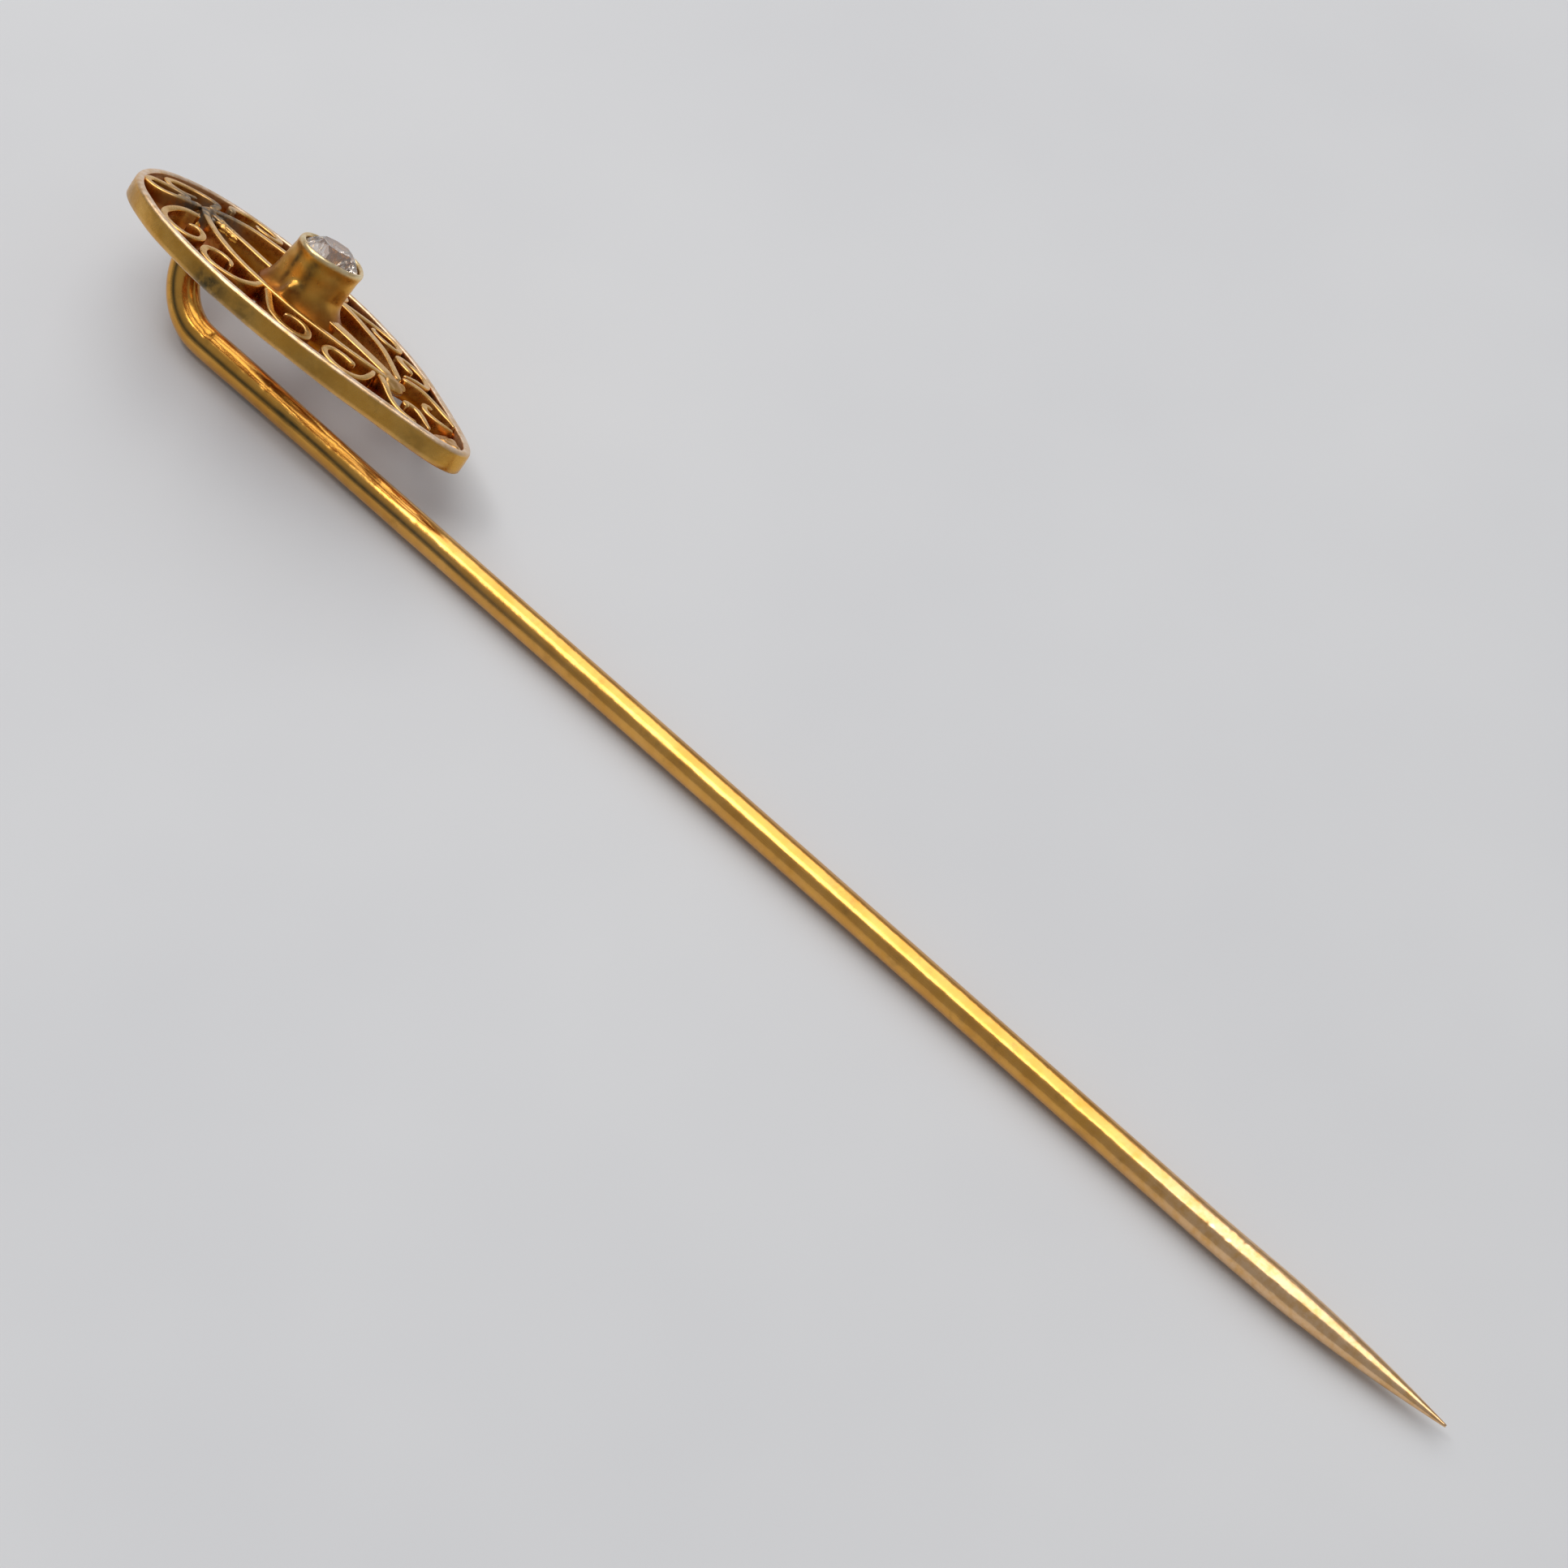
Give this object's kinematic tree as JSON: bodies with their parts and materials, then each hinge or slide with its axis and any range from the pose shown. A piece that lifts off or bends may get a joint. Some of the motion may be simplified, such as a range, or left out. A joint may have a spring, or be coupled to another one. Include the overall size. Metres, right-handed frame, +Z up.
{
  "type": "hat pin",
  "caption": "Stick pin with a pear-shaped openwork scroll head, a raised collet-set round stone and a bent wire stem with a long tapered point.",
  "frame": {"origin": "middle of the bounding box, on the table the pin lies on", "axes": "+X along the stem toward the point, +Z up; the head's face leans toward +Y"},
  "size_m": [0.0636, 0.0072, 0.0061],
  "materials": {
    "gold_rim": "worn polished yellow gold",
    "gold_wire": "polished yellow gold, darker in the recesses",
    "gold_setting": "satin yellow gold",
    "gold_stem": "polished drawn yellow gold wire",
    "aged_solder": "dull grey solder",
    "diamond": "old cut faceted colourless stone"
  },
  "bodies": {
    "root": {"bead_1": "gold_wire", "bead_2": "gold_wire", "fork_solder": "aged_solder", "frame_far": "gold_wire", "frame_near": "gold_wire", "lower_spine": "gold_wire", "lyre_far": "gold_wire", "lyre_near": "gold_wire", "rim_band": "gold_rim", "scroll_1_far": "gold_wire", "scroll_1_near": "gold_wire", "scroll_2_far": "gold_wire", "scroll_2_near": "gold_wire", "scroll_3_far": "gold_wire", "scroll_3_near": "gold_wire", "scroll_4_far": "gold_wire", "scroll_4_near": "gold_wire", "setting_cup": "gold_setting", "setting_foot": "gold_setting", "stem": "gold_stem", "stone": "diamond", "tail_far": "gold_wire", "tail_near": "gold_wire", "tail_solder": "aged_solder", "tip_scroll_far": "gold_wire", "tip_scroll_near": "gold_wire", "tip_solder": "gold_rim", "upper_spine": "gold_wire"}
  },
  "joints": []
}
